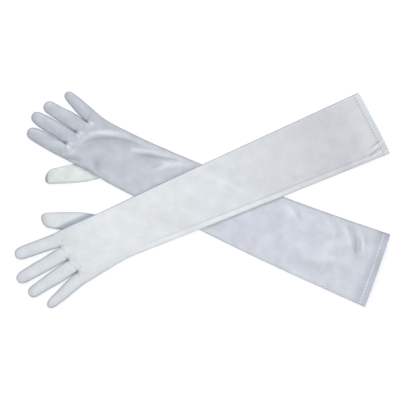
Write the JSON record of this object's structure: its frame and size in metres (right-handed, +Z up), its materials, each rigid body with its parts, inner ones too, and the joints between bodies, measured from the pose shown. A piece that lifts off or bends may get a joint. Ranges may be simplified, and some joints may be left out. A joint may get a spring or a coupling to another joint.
{
  "type": "opera gloves",
  "caption": "Pair of long satin opera gloves laid flat and crossed, backs up: tubular arms, open hemmed cuffs, gusseted fingers and inset thumbs that bend.",
  "frame": {"origin": "centre of the pair's footprint, on the surface that the gloves lie on", "axes": "+X from the fingertips towards the cuffs, +Z up, +Y towards the cuff of the left glove"},
  "size_m": [0.5334, 0.3096, 0.0125],
  "materials": {
    "satin": "stretch satin",
    "satin_edge": "stretch satin",
    "thread": "sewing thread"
  },
  "bodies": {
    "left_cuff": {"left_cuff_back": "satin", "left_cuff_palm": "satin", "left_cuff_hem": "satin_edge", "left_cuff_stitches": "thread", "left_cuff_seam": "satin_edge"},
    "left_forearm": {"left_elbow_back": "satin", "left_elbow_palm": "satin", "left_forearm_back": "satin", "left_forearm_palm": "satin", "left_forearm_seam": "satin_edge", "left_wrist_back": "satin", "left_wrist_palm": "satin"},
    "left_hand": {"left_hand_back": "satin", "left_hand_palm": "satin", "left_hand_seam": "satin_edge"},
    "left_thumb": {"left_thumb_back": "satin", "left_thumb_palm": "satin"},
    "left_index": {"left_index_back": "satin", "left_index_palm": "satin", "left_index_fourchette": "satin_edge"},
    "left_middle": {"left_middle_back": "satin", "left_middle_palm": "satin", "left_middle_fourchettes": "satin_edge"},
    "left_ring": {"left_ring_back": "satin", "left_ring_palm": "satin", "left_ring_fourchettes": "satin_edge"},
    "left_little": {"left_little_back": "satin", "left_little_palm": "satin", "left_little_fourchette": "satin_edge"},
    "right_cuff": {"right_cuff_back": "satin", "right_cuff_palm": "satin", "right_cuff_hem": "satin_edge", "right_cuff_stitches": "thread", "right_cuff_seam": "satin_edge"},
    "right_forearm": {"right_elbow_back": "satin", "right_elbow_palm": "satin", "right_forearm_back": "satin", "right_forearm_palm": "satin", "right_forearm_seam": "satin_edge", "right_wrist_back": "satin", "right_wrist_palm": "satin"},
    "right_hand": {"right_hand_back": "satin", "right_hand_palm": "satin", "right_hand_seam": "satin_edge"},
    "right_thumb": {"right_thumb_back": "satin", "right_thumb_palm": "satin"},
    "right_index": {"right_index_back": "satin", "right_index_palm": "satin", "right_index_fourchette": "satin_edge"},
    "right_middle": {"right_middle_back": "satin", "right_middle_palm": "satin", "right_middle_fourchettes": "satin_edge"},
    "right_ring": {"right_ring_back": "satin", "right_ring_palm": "satin", "right_ring_fourchettes": "satin_edge"},
    "right_little": {"right_little_back": "satin", "right_little_palm": "satin", "right_little_fourchette": "satin_edge"}
  },
  "joints": [
    {"name": "left_glove_lift", "type": "slide", "parent": "right_forearm", "child": "left_forearm", "axis": [0, 0, 1], "range_m": [0, 0.15]},
    {"name": "left_elbow_fold", "type": "hinge", "parent": "left_forearm", "child": "left_cuff", "pos_m": [0.129, 0.0594, 0.0075], "axis": [0.3947, -0.9188, 0], "range_deg": [0, 75]},
    {"name": "left_wrist_bend", "type": "hinge", "parent": "left_forearm", "child": "left_hand", "pos_m": [-0.1154, -0.0456, 0.0075], "axis": [-0.4246, 0.9054, 0], "range_deg": [0, 70]},
    {"name": "left_thumb_swing", "type": "hinge", "parent": "left_hand", "child": "left_thumb", "pos_m": [-0.15016, -0.03245, 0.0015], "axis": [0, 0, -1], "range_deg": [0, 14]},
    {"name": "left_index_bend", "type": "hinge", "parent": "left_hand", "child": "left_index", "pos_m": [-0.20262, -0.05615, 0.0079], "axis": [-0.342, 0.9397, 0], "range_deg": [0, 80]},
    {"name": "left_middle_bend", "type": "hinge", "parent": "left_hand", "child": "left_middle", "pos_m": [-0.1962, -0.07645, 0.0071], "axis": [-0.5, 0.866, 0], "range_deg": [0, 80]},
    {"name": "left_ring_bend", "type": "hinge", "parent": "left_hand", "child": "left_ring", "pos_m": [-0.18498, -0.09407, 0.0071], "axis": [-0.5592, 0.829, 0], "range_deg": [0, 80]},
    {"name": "left_little_bend", "type": "hinge", "parent": "left_hand", "child": "left_little", "pos_m": [-0.16904, -0.10862, 0.0071], "axis": [-0.6561, 0.7547, 0], "range_deg": [0, 80]},
    {"name": "right_elbow_fold", "type": "hinge", "parent": "right_forearm", "child": "right_cuff", "pos_m": [0.13394, -0.05047, 0.0075], "axis": [-0.3987, -0.9171, 0], "range_deg": [0, 75]},
    {"name": "right_wrist_bend", "type": "hinge", "parent": "right_forearm", "child": "right_hand", "pos_m": [-0.11, 0.0556, 0.0075], "axis": [0.4439, 0.8961, 0], "range_deg": [0, 70]},
    {"name": "right_thumb_swing", "type": "hinge", "parent": "right_hand", "child": "right_thumb", "pos_m": [-0.1451, 0.04199, 0.0015], "axis": [0, 0, 1], "range_deg": [0, 14]},
    {"name": "right_index_bend", "type": "hinge", "parent": "right_hand", "child": "right_index", "pos_m": [-0.20005, 0.07179, 0.0079], "axis": [0.4879, 0.8729, 0], "range_deg": [0, 80]},
    {"name": "right_middle_bend", "type": "hinge", "parent": "right_hand", "child": "right_middle", "pos_m": [-0.18679, 0.08832, 0.0071], "axis": [0.518, 0.8554, 0], "range_deg": [0, 80]},
    {"name": "right_ring_bend", "type": "hinge", "parent": "right_hand", "child": "right_ring", "pos_m": [-0.17058, 0.10298, 0.0071], "axis": [0.5284, 0.849, 0], "range_deg": [0, 80]},
    {"name": "right_little_bend", "type": "hinge", "parent": "right_hand", "child": "right_little", "pos_m": [-0.15486, 0.11676, 0.0071], "axis": [0.6717, 0.7408, 0], "range_deg": [0, 80]}
  ]
}
